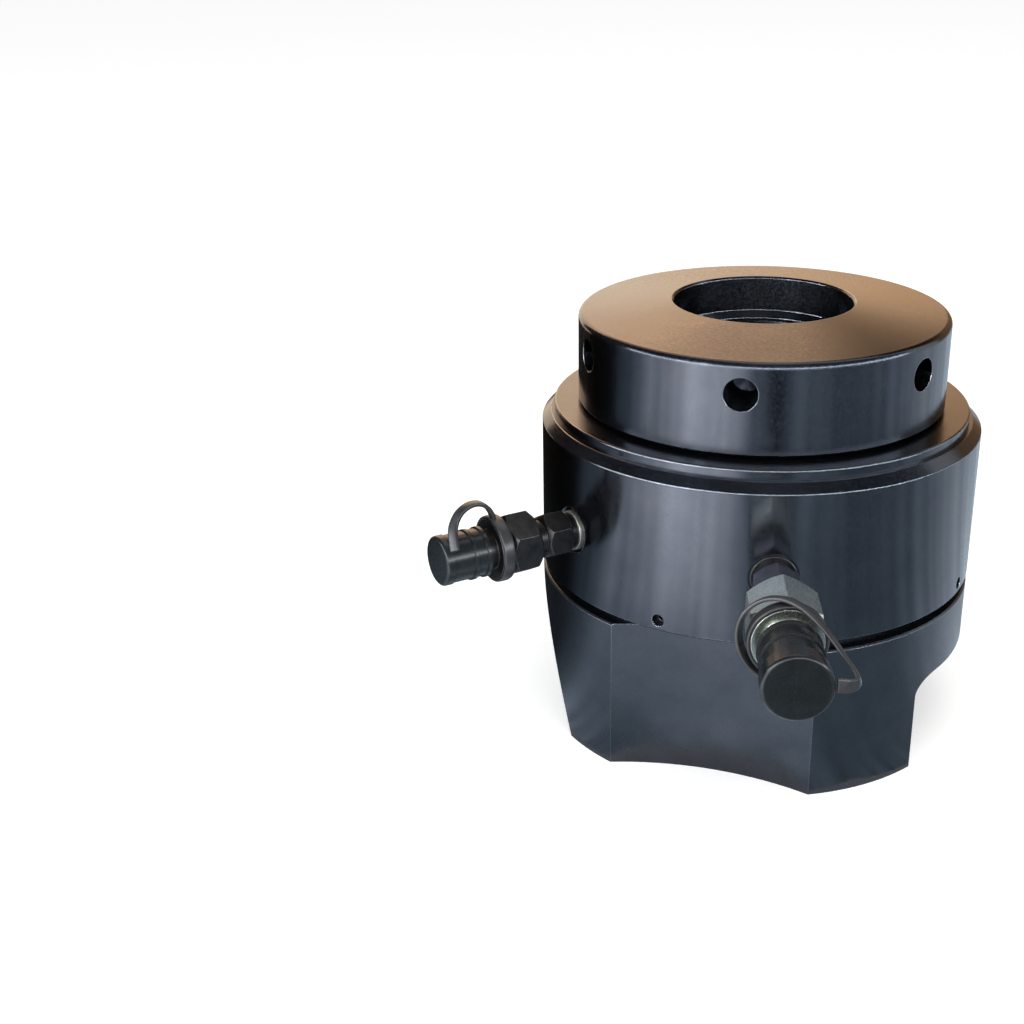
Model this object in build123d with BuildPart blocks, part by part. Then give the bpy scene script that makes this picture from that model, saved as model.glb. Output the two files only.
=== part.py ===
from build123d import *
import os
from math import cos, radians, sin
from types import SimpleNamespace

# A hydraulic bolt tensioner, standing on its foot with the bolt axis on Z and Z = 0 at the foot.
# A bridge stands over the nut, a ring-shaped load cell sits on the bridge and turns on it,
# and a puller that screws on the stud rides on the piston. Oil comes in through two quick
# couplings. A socket in the bridge turns the nut down while the stud is stretched; its window
# faces +X and the sloping side of the bridge faces -X.

# Sizes in millimetres, angles in degrees from +X.

# Radii, each built outward from the one before, starting at the stud's thread
thread_r = 40.0
puller_neck_wall = 12.0
piston_gap = 1.0
skirt_wall = 13.0
piston_neck_step = 8.0
piston_land_step = 14.05
cell_wall = 19.95
puller_neck_r = thread_r + puller_neck_wall
stud_bore_r = puller_neck_r + piston_gap
skirt_r = stud_bore_r + skirt_wall
neck_r = skirt_r + piston_neck_step
bore_r = neck_r + piston_land_step
body_r = bore_r + cell_wall

# Nut, its socket and the bore round them
nut_af = 2.9 * thread_r
socket_wall = 2.63
nut_bore_gap = 0.4
socket_r = nut_af / 2 / cos(radians(30)) + socket_wall
nut_bore_r = socket_r + nut_bore_gap

# Bridge
bridge_h = 76.8
nut_bore_h = bridge_h + 1.2
throat_r = skirt_r + 1.5
seat_r = body_r - 9.0
seat_h = 4.4
spigot_r = skirt_r + 20.0
spigot_h = 14.0
bridge_edge = 0.8
scallop_depth = 20.0
scallop_r = 147.0
scallop_angle = 93.6
step_x = body_r - 19.9
step_h = 47.5
step_corner = 9.0
slope_x = body_r - 28.8
slope_rise = 0.335
window_w = 84.0
window_h = 40.0
window_corner = 10.0

# Socket that turns the nut, and the snap ring that keeps it in the bridge
socket_h = bridge_h - 12.8
socket_hole_r = 6.5
socket_hole_h = 18.0
socket_edge = 1.0
snap_ring_z = 3.0
snap_ring_t = 3.0
snap_ring_w = 4.2
snap_groove_depth = 2.4
snap_opening = 80.0

# Load cell
cell_chamfer = 4.4
cell_edge = 0.8
ledge_h = 30.2
port_rise = 3.8
port_r = 6.6
spot_face_r = 11.5
spot_face_depth = 1.2
oil_gallery_h = 9.6
port_sink = 2.0

# Piston
skirt_drop = 12.0
relief_r = neck_r + 6.0
land_h = 13.0
stroke = 15.0

# Stop ring that is screwed into the load cell over the piston
stop_r = body_r - 6.2
stop_flange_h = 4.8
stop_spigot_h = 10.3
stop_edge = 0.6
wiper_h = 4.0
wiper_w = 3.0
wiper_lip = 1.2

# Return springs
spring_count = 8
spring_r = 4.9
spring_wire = 1.6
spring_pocket_depth = 8.5

# Seals
seal_h = 4.8
backup_h = 1.8
seal_w = 5.5

# Puller
puller_r = body_r - 18.1
puller_h = 43.3
puller_gap = 1.4
crown_h = 5.5
puller_round = 3.0
puller_edge = 1.0
puller_neck_h = 73.0
thread_lead_in = 2.0
counterbore_r = thread_r + 3.4
counterbore_h = 17.5
tommy_count = 6
tommy_angle = -89.0
tommy_r = 7.8
tommy_depth = 30.0
tommy_drop = 14.4

# Swivel screws, which ride in the groove of the bridge's spigot
screw_r = 3.0
screw_reach = 3.0
screw_sink = 4.0
screw_socket_r = 1.7
screw_socket_depth = 3.5
swivel_groove_h = 7.0
swivel_groove_depth = 4.0
screw_h = 5.4
screw_angle = -106.5

# Running clearances and small gaps
fit_gap = 0.05
loose_gap = 0.3
rest_gap = 0.1

# Quick couplings: sizes that both share
washer_t = 2.0
shank_r = 8.8
stub_r = 6.5
stub_length = 14.0
passage_r = 2.5
tail_r = 7.0
tail_length = 8.0
hexagon_relief = 0.7
nose_edge = 2.0
chamber_length = 32.0
chamber_wall = 4.0
seat_length = 6.0
seat_land = 2.0
poppet_tip_r = 2.3
poppet_tip_drop = 0.5
poppet_head_length = 3.0
poppet_stem_r = 1.4
poppet_stem_length = 8.0
poppet_spring_r = 3.4
poppet_spring_wire = 0.8
cap_wall = 3.2
cap_round = 1.6
rib_w = 1.8
rib_h = 0.7
strap_ring_t = 2.2
strap_ring_w = 5.0
strap_band_r = 1.8
strap_bend_r = 6.0

# The small coupling, on the left of the load cell. Strap points are (along, across, up).
left_coupling = SimpleNamespace(
    name="left",
    angle=-136.7,
    washer_r=9.6,
    shank_length=3.0,
    adaptor_af=20.0,
    adaptor_length=13.5,
    neck_r=8.5,
    neck_length=5.0,
    body_af=27.0,
    body_length=16.0,
    collar_r=14.4,
    collar_length=6.0,
    nose_r=9.6,
    cap_gap=4.5,
    cap_r=11.4,
    cap_length=23.0,
    flange_r=11.9,
    flange_length=4.5,
    rib_places=(0.0, 6.5),
    strap_points=[(42.5, 0, 15.8), (43.2, 0, 25.0), (60.0, 0, 24.5), (70.2, 0, 20.0), (70.4, 0, 12.5)],
)

# The large coupling, at the front
front_coupling = SimpleNamespace(
    name="front",
    angle=-78.4,
    washer_r=10.6,
    shank_length=6.0,
    adaptor_af=20.0,
    adaptor_length=16.0,
    neck_r=9.0,
    neck_length=7.0,
    body_af=30.0,
    body_length=27.0,
    collar_r=15.2,
    collar_length=6.0,
    nose_r=11.2,
    cap_gap=5.5,
    cap_r=13.0,
    cap_length=32.5,
    flange_r=14.6,
    flange_length=9.0,
    rib_places=(0.0, 10.0),
    strap_points=[(61.0, 5.0, -16.9), (61.0, -13.0, -18.3), (54.0, -27.0, -8.0), (51.0, -25.5, 10.0),
                  (53.0, -8.0, 21.5), (76.0, 9.0, 17.5), (98.0, 24.0, 4.0), (99.3, 15.2, 1.0)],
)

# Heights that follow from the sizes above
cell_z = bridge_h + seat_h
ledge_z = cell_z + ledge_h
port_z = ledge_z + port_rise
land_z = ledge_z + oil_gallery_h
land_top = land_z + land_h
stop_under = land_top + stroke + rest_gap
cell_top = stop_under + stop_spigot_h
stop_top = cell_top + stop_flange_h
puller_z = stop_top + puller_gap
puller_side_top = puller_z + puller_h
puller_top = puller_side_top + crown_h
tommy_z = puller_side_top - tommy_drop
socket_z = snap_ring_z + snap_ring_t + rest_gap
spring_circle_r = (neck_r + bore_r) / 2
seal_groove_h = seal_h + backup_h + 0.4

os.makedirs("parts", exist_ok=True)


def turned(points, plane, centre):
    """A solid of revolution: (along or across, up) points on a plane, turned about a centre axis."""
    with BuildPart() as solid:
        with BuildSketch(plane):
            with BuildLine():
                Polyline(*points, close=True)
            make_face()
        revolve(axis=centre)
    return solid.part


def ring(inner, outer, low, high):
    """A plain ring about the bolt axis."""
    with BuildPart() as solid:
        with BuildSketch(Plane.XY.offset(low)):
            Circle(outer)
            Circle(inner, mode=Mode.SUBTRACT)
        extrude(amount=high - low)
    return solid.part


def radial_plane(angle, height):
    """The plane at a height that faces away from the bolt axis, with its own x axis upward."""
    outward = (cos(radians(angle)), sin(radians(angle)), 0)
    return Plane(origin=(0, 0, height), x_dir=(0, 0, 1), z_dir=outward)


# The bridge: a thick tube over the nut, cut away on four sides to clear what stands round it
with BuildPart() as bridge:
    with BuildSketch():
        Circle(body_r)
    extrude(amount=bridge_h)
    chamfer(bridge.edges().sort_by(Axis.Z)[-1], bridge_edge)

    # Scallops that clear the neighbouring nuts on the flange
    with BuildSketch():
        with PolarLocations(body_r - scallop_depth + scallop_r, 2, start_angle=-scallop_angle,
                            angular_range=2 * scallop_angle, endpoint=True):
            Circle(scallop_r)
    extrude(amount=bridge_h, mode=Mode.SUBTRACT)

    # Step under the top flange, flat in plan, with a round inside corner
    with BuildSketch(Plane.XZ.offset(-body_r)) as step_side:
        with Locations((step_x, 0)):
            Rectangle(body_r, step_h, align=(Align.MIN, Align.MIN))
        fillet(step_side.vertices().group_by(Axis.Y)[-1].sort_by(Axis.X)[0], step_corner)
    extrude(amount=2 * body_r, mode=Mode.SUBTRACT)

    # Slope that clears the hub of the flange
    with BuildSketch(Plane.XZ.offset(-body_r)):
        with BuildLine():
            Polyline((-slope_x, 0), (-slope_x - slope_rise * bridge_h, bridge_h),
                     (-2 * body_r, bridge_h), (-2 * body_r, 0), close=True)
        make_face()
    extrude(amount=2 * body_r, mode=Mode.SUBTRACT)

    # Raised seat and the spigot that centres the load cell, with the groove for its screws
    with BuildSketch(Plane.XY.offset(bridge_h)):
        Circle(seat_r)
        with PolarLocations(body_r - scallop_depth + scallop_r, 2, start_angle=-scallop_angle,
                            angular_range=2 * scallop_angle, endpoint=True):
            Circle(scallop_r, mode=Mode.SUBTRACT)
    extrude(amount=seat_h)
    with BuildSketch(Plane.XY.offset(cell_z)):
        Circle(spigot_r)
    extrude(amount=spigot_h)
    with BuildSketch(Plane.XY.offset(cell_z + screw_h - swivel_groove_h / 2)):
        Circle(spigot_r + 1)
        Circle(spigot_r - swivel_groove_depth, mode=Mode.SUBTRACT)
    extrude(amount=swivel_groove_h, mode=Mode.SUBTRACT)

    # Bore over the nut, with a shoulder above it
    with BuildSketch():
        Circle(nut_bore_r)
    extrude(amount=nut_bore_h, mode=Mode.SUBTRACT)
    with BuildSketch(Plane.XY.offset(nut_bore_h)):
        Circle(throat_r)
    extrude(amount=cell_z + spigot_h - nut_bore_h, mode=Mode.SUBTRACT)

    # Window for the bar that turns the nut
    with BuildSketch(Plane.YZ):
        with Locations((0, (window_h - window_corner) / 2)):
            RectangleRounded(window_w, window_h + window_corner, window_corner)
    extrude(amount=body_r, mode=Mode.SUBTRACT)

    # Groove for the snap ring
    with BuildSketch(Plane.XY.offset(snap_ring_z - rest_gap)):
        Circle(nut_bore_r + snap_groove_depth)
    extrude(amount=snap_ring_t + 2 * rest_gap, mode=Mode.SUBTRACT)

bridge.part.label = "bridge"
export_step(bridge.part, "parts/bridge.step")


# The nut socket: a hexagon inside, round outside, with a bar hole in the middle of each flat
with BuildPart() as nut_socket:
    with BuildSketch(Plane.XY.offset(socket_z)):
        Circle(socket_r)
        RegularPolygon(nut_af / 2, 6, major_radius=False, rotation=30, mode=Mode.SUBTRACT)
    extrude(amount=socket_h)
    chamfer(nut_socket.edges().filter_by(GeomType.CIRCLE), socket_edge)
    with PolarLocations(0, 6):
        with Locations(Location((0, 0, socket_z + socket_hole_h), (0, 90, 0))):
            Cylinder(socket_hole_r, body_r, align=(Align.CENTER, Align.CENTER, Align.MIN), mode=Mode.SUBTRACT)

nut_socket.part.label = "nut_socket"
export_step(nut_socket.part, "parts/nut_socket.step")


# The snap ring under the socket, with its opening at the window
snap_ring_r = nut_bore_r + snap_groove_depth - rest_gap

with BuildPart() as snap_ring:
    with BuildSketch(Plane.XZ):
        with Locations((snap_ring_r - snap_ring_w / 2, snap_ring_z + snap_ring_t / 2)):
            Rectangle(snap_ring_w, snap_ring_t)
    revolve(axis=Axis.Z, revolution_arc=360 - snap_opening)

snap_ring_part = snap_ring.part.rotate(Axis.Z, snap_opening / 2)
snap_ring_part.label = "snap_ring"
export_step(snap_ring_part, "parts/snap_ring.step")


# The load cell's body, turned about the bolt axis
recess_top = cell_z + spigot_h + 2 * loose_gap
cell_seal_z = (recess_top + ledge_z - seal_groove_h) / 2
spot_face_x = body_r - spot_face_depth

with BuildPart() as load_cell_body:
    with BuildSketch(Plane.XZ):
        with BuildLine():
            Polyline(
                (spigot_r + loose_gap, cell_z),
                (body_r - cell_edge, cell_z),
                (body_r, cell_z + cell_edge),
                (body_r, cell_top - cell_chamfer),
                (body_r - cell_chamfer, cell_top),
                (bore_r, cell_top),
                (bore_r, ledge_z),
                (skirt_r + fit_gap, ledge_z),
                (skirt_r + fit_gap, cell_seal_z + seal_groove_h),
                (skirt_r + seal_w, cell_seal_z + seal_groove_h),
                (skirt_r + seal_w, cell_seal_z),
                (skirt_r + fit_gap, cell_seal_z),
                (skirt_r + fit_gap, recess_top),
                (spigot_r + loose_gap, recess_top),
                close=True,
            )
        make_face()
    revolve(axis=Axis.Z)

    # Oil ports with a flat round spot face
    for size in (left_coupling, front_coupling):
        across = radial_plane(size.angle, port_z)
        with BuildSketch(across.offset(spot_face_x)):
            Circle(spot_face_r)
        extrude(amount=body_r, mode=Mode.SUBTRACT)
        with BuildSketch(across.offset(bore_r - port_sink)):
            Circle(port_r)
        extrude(amount=body_r, mode=Mode.SUBTRACT)

    # Tapped holes for the swivel screws
    for quarter in range(4):
        with BuildSketch(radial_plane(screw_angle + 90 * quarter, cell_z + screw_h).offset(spigot_r)):
            Circle(screw_r + fit_gap)
        extrude(amount=body_r, mode=Mode.SUBTRACT)

load_cell_body.part.label = "load_cell_body"
export_step(load_cell_body.part, "parts/load_cell_body.step")


# Swivel screws: four socket set screws with plain points, in one group
screw_tip_x = spigot_r - screw_reach
screw_end_x = body_r - screw_sink

with BuildPart() as swivel_screws:
    for quarter in range(4):
        across = radial_plane(screw_angle + 90 * quarter, cell_z + screw_h)
        with BuildSketch(across.offset(screw_tip_x)):
            Circle(screw_r)
        extrude(amount=screw_end_x - screw_tip_x)
        with BuildSketch(across.offset(screw_end_x - screw_socket_depth)):
            RegularPolygon(screw_socket_r, 6)
        extrude(amount=screw_socket_depth, mode=Mode.SUBTRACT)

swivel_screws.part.label = "swivel_screws"
export_step(swivel_screws.part, "parts/swivel_screws.step")


# The piston: a stepped ring with a skirt below, a land with the main seal, and a neck on top
piston_z = ledge_z + rest_gap
skirt_z = recess_top - skirt_drop
piston_top = puller_z - rest_gap
piston_seal_z = land_z + (land_h - seal_groove_h) / 2

with BuildPart() as piston:
    with BuildSketch(Plane.XZ):
        with BuildLine():
            Polyline(
                (stud_bore_r, skirt_z),
                (skirt_r, skirt_z),
                (skirt_r, piston_z),
                (relief_r, piston_z),
                (relief_r, land_z),
                (bore_r - fit_gap, land_z),
                (bore_r - fit_gap, piston_seal_z),
                (bore_r - seal_w, piston_seal_z),
                (bore_r - seal_w, piston_seal_z + seal_groove_h),
                (bore_r - fit_gap, piston_seal_z + seal_groove_h),
                (bore_r - fit_gap, land_top),
                (neck_r, land_top),
                (neck_r, piston_top - 1),
                (neck_r - 1, piston_top),
                (stud_bore_r, piston_top),
                close=True,
            )
        make_face()
    revolve(axis=Axis.Z)

piston.part.label = "piston"
export_step(piston.part, "parts/piston.step")


# Seals with their backup rings: one pair rides on the piston, the other stays in the load cell
seal_gap = 0.1

piston_backup_ring = ring(bore_r - seal_w + seal_gap, bore_r - fit_gap,
                          piston_seal_z + seal_gap, piston_seal_z + seal_gap + backup_h)
piston_backup_ring.label = "piston_backup_ring"
export_step(piston_backup_ring, "parts/piston_backup_ring.step")

piston_seal = ring(bore_r - seal_w + seal_gap, bore_r - fit_gap,
                   piston_seal_z + 2 * seal_gap + backup_h, piston_seal_z + 2 * seal_gap + backup_h + seal_h)
piston_seal.label = "piston_seal"
export_step(piston_seal, "parts/piston_seal.step")

cell_backup_ring = ring(skirt_r + fit_gap, skirt_r + seal_w - seal_gap,
                        cell_seal_z + seal_gap, cell_seal_z + seal_gap + backup_h)
cell_backup_ring.label = "cell_backup_ring"
export_step(cell_backup_ring, "parts/cell_backup_ring.step")

cell_seal = ring(skirt_r + fit_gap, skirt_r + seal_w - seal_gap,
                 cell_seal_z + 2 * seal_gap + backup_h, cell_seal_z + 2 * seal_gap + backup_h + seal_h)
cell_seal.label = "cell_seal"
export_step(cell_seal, "parts/cell_seal.step")


# The stop ring closes the load cell, ends the stroke and holds the return springs
wiper_z = stop_top - wiper_lip - wiper_h

with BuildPart() as stop_ring:
    with BuildSketch(Plane.XZ):
        with BuildLine():
            Polyline(
                (neck_r + loose_gap, stop_under),
                (bore_r - fit_gap, stop_under),
                (bore_r - fit_gap, cell_top),
                (stop_r, cell_top),
                (stop_r, stop_top - stop_edge),
                (stop_r - stop_edge, stop_top),
                (neck_r + loose_gap, stop_top),
                (neck_r + loose_gap, wiper_z + wiper_h),
                (neck_r + wiper_w, wiper_z + wiper_h),
                (neck_r + wiper_w, wiper_z),
                (neck_r + loose_gap, wiper_z),
                close=True,
            )
        make_face()
    revolve(axis=Axis.Z)
    with BuildSketch(Plane.XY.offset(stop_under)):
        with PolarLocations(spring_circle_r, spring_count):
            Circle(spring_r + loose_gap)
    extrude(amount=spring_pocket_depth, mode=Mode.SUBTRACT)

stop_ring.part.label = "stop_ring"
export_step(stop_ring.part, "parts/stop_ring.step")

wiper_ring = ring(neck_r + fit_gap, neck_r + wiper_w - seal_gap, wiper_z + seal_gap, wiper_z + wiper_h - seal_gap)
wiper_ring.label = "wiper_ring"
export_step(wiper_ring, "parts/wiper_ring.step")


# Return springs, each as the sleeve that its coils fill
with BuildPart() as return_springs:
    with BuildSketch(Plane.XY.offset(land_top + rest_gap)):
        with PolarLocations(spring_circle_r, spring_count):
            Circle(spring_r)
            Circle(spring_r - spring_wire, mode=Mode.SUBTRACT)
    extrude(amount=stop_under + spring_pocket_depth - land_top - 2 * rest_gap)

return_springs.part.label = "return_springs"
export_step(return_springs.part, "parts/return_springs.step")


# The puller: a head with radial holes for a bar, and a threaded neck down through the piston
counterbore_z = puller_top - counterbore_h
puller_bottom = puller_z - puller_neck_h
tommy_end_x = puller_r - tommy_depth

with BuildPart() as tommy_drill:
    with BuildSketch(Plane.XZ):
        with BuildLine():
            Polyline(
                (tommy_end_x - tommy_r / 2, tommy_z),
                (tommy_end_x, tommy_z + tommy_r),
                (puller_r + 1, tommy_z + tommy_r),
                (puller_r + 1, tommy_z),
                close=True,
            )
        make_face()
    revolve(axis=Axis((0, 0, tommy_z), (1, 0, 0)))

with BuildPart() as puller:
    with BuildSketch(Plane.XZ):
        with BuildLine():
            Polyline(
                (thread_r + thread_lead_in, puller_bottom),
                (puller_neck_r - puller_edge, puller_bottom),
                (puller_neck_r, puller_bottom + puller_edge),
                (puller_neck_r, puller_z),
                (puller_r - puller_edge, puller_z),
                (puller_r, puller_z + puller_edge),
                (puller_r, puller_side_top),
                (counterbore_r + puller_edge, puller_top),
                (counterbore_r, puller_top - puller_edge),
                (counterbore_r, counterbore_z),
                (thread_r, counterbore_z - (counterbore_r - thread_r)),
                (thread_r, puller_bottom + thread_lead_in),
                close=True,
            )
        make_face()
    revolve(axis=Axis.Z)
    fillet(puller.edges().filter_by(GeomType.CIRCLE).sort_by(SortBy.RADIUS)[-1], puller_round)
    with PolarLocations(0, tommy_count, start_angle=tommy_angle):
        add(tommy_drill.part, mode=Mode.SUBTRACT)

puller.part.label = "puller"
export_step(puller.part, "parts/puller.step")


def hexagon(port, start, end, across_flats):
    """A hexagon bar along a port's axis, with its corners turned off at both ends."""
    flat_r = across_flats / 2
    corner_r = flat_r / cos(radians(30))
    end_r = flat_r - hexagon_relief
    bevel = corner_r - end_r
    turned_bar = turned([(start, 0), (start, end_r), (start + bevel, corner_r), (end - bevel, corner_r),
                         (end, end_r), (end, 0)], port.side_on, port.centre)
    with BuildPart() as bar:
        with BuildSketch(port.face.offset(start)):
            RegularPolygon(flat_r, 6, major_radius=False)
        extrude(amount=end - start)
        add(turned_bar, mode=Mode.INTERSECT)
    return bar.part


def coupling(size):
    """One quick coupling with its inner valve, dust cap and strap, along the port's axis."""
    face = radial_plane(size.angle, port_z).offset(spot_face_x)
    side_on = Plane(origin=face.origin, x_dir=face.z_dir, z_dir=face.y_dir)
    centre = Axis(face.origin, face.z_dir)
    port = SimpleNamespace(face=face, side_on=side_on, centre=centre)

    # Stations along the port's axis, counted from the spot face
    hexagon_start = washer_t + size.shank_length
    hexagon_end = washer_t + size.shank_length + size.adaptor_length
    body_start = hexagon_end + size.neck_length
    body_end = body_start + size.body_length
    collar_end = body_end + size.collar_length
    cap_mouth = collar_end + size.cap_gap
    cap_end = cap_mouth + size.cap_length
    nose_end = cap_end - cap_wall - rest_gap
    chamber_start = nose_end - chamber_length
    seat_start = nose_end - seat_length
    chamber_r = size.nose_r - chamber_wall

    # Bonded washer under the adaptor
    washer = turned([(0, stub_r + loose_gap), (0, size.washer_r), (washer_t, size.washer_r),
                     (washer_t, stub_r + loose_gap)], side_on, centre)
    washer.label = size.name + "_sealing_washer"
    export_step(washer, "parts/" + size.name + "_sealing_washer.step")

    # Adaptor: threaded stub into the port, shank, hexagon, neck and the tail that holds the coupling
    with BuildPart() as adaptor:
        add(turned([(-stub_length, 0), (-stub_length, stub_r), (washer_t, stub_r), (washer_t, shank_r),
                    (hexagon_end, shank_r), (hexagon_end, size.neck_r), (body_start, size.neck_r),
                    (body_start, tail_r), (body_start + tail_length, tail_r), (body_start + tail_length, 0)],
                   side_on, centre))
        add(hexagon(port, hexagon_start, hexagon_end, size.adaptor_af))
        with BuildSketch(face.offset(-stub_length)):
            Circle(passage_r)
        extrude(amount=stub_length + body_start + tail_length, mode=Mode.SUBTRACT)
    adaptor.part.label = size.name + "_adaptor"
    export_step(adaptor.part, "parts/" + size.name + "_adaptor.step")

    # Coupling body: hexagon, collar for the strap, nose, and the valve chamber with its seat
    with BuildPart() as coupling_body:
        add(hexagon(port, body_start, body_end, size.body_af))
        add(turned([(body_end, 0), (body_end, size.collar_r), (collar_end, size.collar_r),
                    (collar_end, size.nose_r), (nose_end - nose_edge, size.nose_r),
                    (nose_end, size.nose_r - nose_edge), (nose_end, 0)], side_on, centre))
        add(turned([(body_start, 0), (body_start, tail_r + fit_gap),
                    (body_start + tail_length + rest_gap, tail_r + fit_gap),
                    (body_start + tail_length + rest_gap, passage_r), (chamber_start, passage_r),
                    (chamber_start, chamber_r), (seat_start, chamber_r),
                    (nose_end - seat_land, poppet_tip_r + loose_gap), (nose_end, poppet_tip_r + loose_gap),
                    (nose_end, 0)], side_on, centre), mode=Mode.SUBTRACT)
    coupling_body.part.label = size.name + "_coupling_body"
    export_step(coupling_body.part, "parts/" + size.name + "_coupling_body.step")

    # Poppet that closes the nose from inside, and the spring that holds it shut
    head_start = seat_start - poppet_head_length
    stem_start = head_start - poppet_stem_length
    tip_end = nose_end - poppet_tip_drop
    poppet = turned([(stem_start, 0), (stem_start, poppet_stem_r), (head_start, poppet_stem_r),
                     (head_start, chamber_r - loose_gap), (seat_start - rest_gap, chamber_r - loose_gap),
                     (nose_end - seat_land - rest_gap, poppet_tip_r), (tip_end, poppet_tip_r), (tip_end, 0)],
                    side_on, centre)
    poppet.label = size.name + "_poppet"
    export_step(poppet, "parts/" + size.name + "_poppet.step")

    spring_start = chamber_start + rest_gap
    spring_end = head_start - rest_gap
    coil_inner_r = poppet_spring_r - poppet_spring_wire
    poppet_spring = turned([(spring_start, coil_inner_r), (spring_start, poppet_spring_r),
                            (spring_end, poppet_spring_r), (spring_end, coil_inner_r)], side_on, centre)
    poppet_spring.label = size.name + "_poppet_spring"
    export_step(poppet_spring, "parts/" + size.name + "_poppet_spring.step")

    # Dust cap: a cup over the nose, ribbed near its mouth, with a thicker end
    with BuildPart() as dust_cap:
        with BuildSketch(side_on):
            with BuildLine():
                Polyline((cap_mouth, size.nose_r + loose_gap), (cap_mouth, size.cap_r),
                         (cap_end - size.flange_length, size.cap_r), (cap_end - size.flange_length, size.flange_r),
                         (cap_end, size.flange_r), (cap_end, 0), (nose_end + rest_gap, 0),
                         (nose_end + rest_gap, size.nose_r + loose_gap), close=True)
            make_face()
            for place in size.rib_places:
                with Locations((cap_mouth + place, size.cap_r)):
                    Rectangle(rib_w, 2 * rib_h, align=(Align.MIN, Align.CENTER))
        revolve(axis=centre)
        fillet(dust_cap.edges().filter_by(GeomType.CIRCLE).sort_by(centre)[-1], cap_round)
    dust_cap.part.label = size.name + "_dust_cap"
    export_step(dust_cap.part, "parts/" + size.name + "_dust_cap.step")

    # Rubber strap: a ring on the collar and a band that bends over to the end of the cap
    ring_start = body_end + (size.collar_length - strap_ring_w) / 2
    ring_inner_r = size.collar_r + loose_gap
    band_points = [face.from_local_coords(Vector(up, -across, along)) for along, across, up in size.strap_points]
    with BuildPart() as strap:
        with BuildSketch(face.offset(ring_start)):
            Circle(ring_inner_r + strap_ring_t)
            Circle(ring_inner_r, mode=Mode.SUBTRACT)
        extrude(amount=strap_ring_w)
        with BuildLine() as band:
            FilletPolyline(*band_points, radius=strap_bend_r)
        with BuildSketch(Plane(origin=band.line @ 0, z_dir=band.line % 0)):
            Circle(strap_band_r)
        sweep()
    strap.part.label = size.name + "_cap_strap"
    export_step(strap.part, "parts/" + size.name + "_cap_strap.step")


coupling(left_coupling)
coupling(front_coupling)
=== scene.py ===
# %% [markdown]
# # A hydraulic bolt tensioner
#
# The tool stands over a nut on a big flange. Oil under high pressure lifts a ring piston, the
# piston lifts the puller that is screwed on the stud, and the stud stretches. The nut is then run
# down with a bar and the pressure is let go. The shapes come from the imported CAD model. This
# lesson adds the finishes, the light, the camera and the few things that CAD leaves plain: the
# thread in the puller, the coils of the springs and the straps of the dust caps.

# %% Load the frame
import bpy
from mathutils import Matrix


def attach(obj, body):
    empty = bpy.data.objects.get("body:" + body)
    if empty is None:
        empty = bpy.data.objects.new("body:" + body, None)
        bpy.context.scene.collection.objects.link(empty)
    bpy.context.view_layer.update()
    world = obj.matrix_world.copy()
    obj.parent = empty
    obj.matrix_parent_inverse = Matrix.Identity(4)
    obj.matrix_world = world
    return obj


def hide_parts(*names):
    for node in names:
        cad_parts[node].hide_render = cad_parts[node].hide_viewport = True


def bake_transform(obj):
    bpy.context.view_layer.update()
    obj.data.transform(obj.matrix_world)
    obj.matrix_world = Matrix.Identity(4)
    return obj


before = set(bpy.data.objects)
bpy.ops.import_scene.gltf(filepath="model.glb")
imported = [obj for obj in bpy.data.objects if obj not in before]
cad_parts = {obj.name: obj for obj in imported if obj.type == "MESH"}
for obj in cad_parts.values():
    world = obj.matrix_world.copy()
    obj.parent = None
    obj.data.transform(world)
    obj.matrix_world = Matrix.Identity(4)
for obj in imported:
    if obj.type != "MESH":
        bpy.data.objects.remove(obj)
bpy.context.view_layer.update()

# %% Modules and units
from math import cos, radians, sin

import bpy
import numpy as np
from mathutils import Matrix, Vector

MM = 0.001

# %% [markdown]
# ## The camera
#
# The photograph was taken from in front and a little above. A camera fit to the edges of the
# round bodies gave its place, so the render can be laid over the photograph.
# The camera is built from three turns: round the vertical, up from straight down, and a small roll.

# %% Camera
camera = bpy.data.objects.new("camera", bpy.data.cameras.new("camera"))
bpy.context.scene.collection.objects.link(camera)
bpy.context.scene.camera = camera

camera.data.sensor_width = 36.0
camera.data.lens = 53.75
camera.data.clip_start = 0.05
camera.data.clip_end = 60.0

camera_place = (0.0769, -0.7320, 0.4107)
camera_heading = 15.72
camera_pitch = 22.91
camera_roll = -1.11
camera.matrix_world = (
    Matrix.Translation(camera_place)
    @ Matrix.Rotation(radians(camera_heading), 4, "Z")
    @ Matrix.Rotation(radians(90.0 - camera_pitch), 4, "X")
    @ Matrix.Rotation(radians(camera_roll), 4, "Z")
)
print("camera at", [round(v, 3) for v in camera.matrix_world.translation])

# %% [markdown]
# ## Node helpers
#
# Every material here is a small tree of shader nodes. A few short functions keep the trees
# readable: they add a node with its values and links, do one step of arithmetic, mix two colours,
# map one range to another, and start or place a group of nodes that several materials share.

# %% Node helpers
def add_node(tree, kind, settings=None, **inputs):
    """Adds a shader node, sets its properties, and sets or links its named inputs."""
    node = tree.nodes.new(kind)
    for name, value in (settings or {}).items():
        setattr(node, name, value)
    for name, value in inputs.items():
        socket = node.inputs[name.replace("_", " ")]
        if isinstance(value, bpy.types.NodeSocket):
            tree.links.new(value, socket)
        else:
            socket.default_value = value
    return node


def math_node(tree, operation, first, second=0.0, clamp=False):
    """One step of arithmetic on two values or sockets."""
    node = tree.nodes.new("ShaderNodeMath")
    node.operation = operation
    node.use_clamp = clamp
    for socket, value in zip(node.inputs, (first, second)):
        if isinstance(value, bpy.types.NodeSocket):
            tree.links.new(value, socket)
        else:
            socket.default_value = value
    return node.outputs[0]


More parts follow.
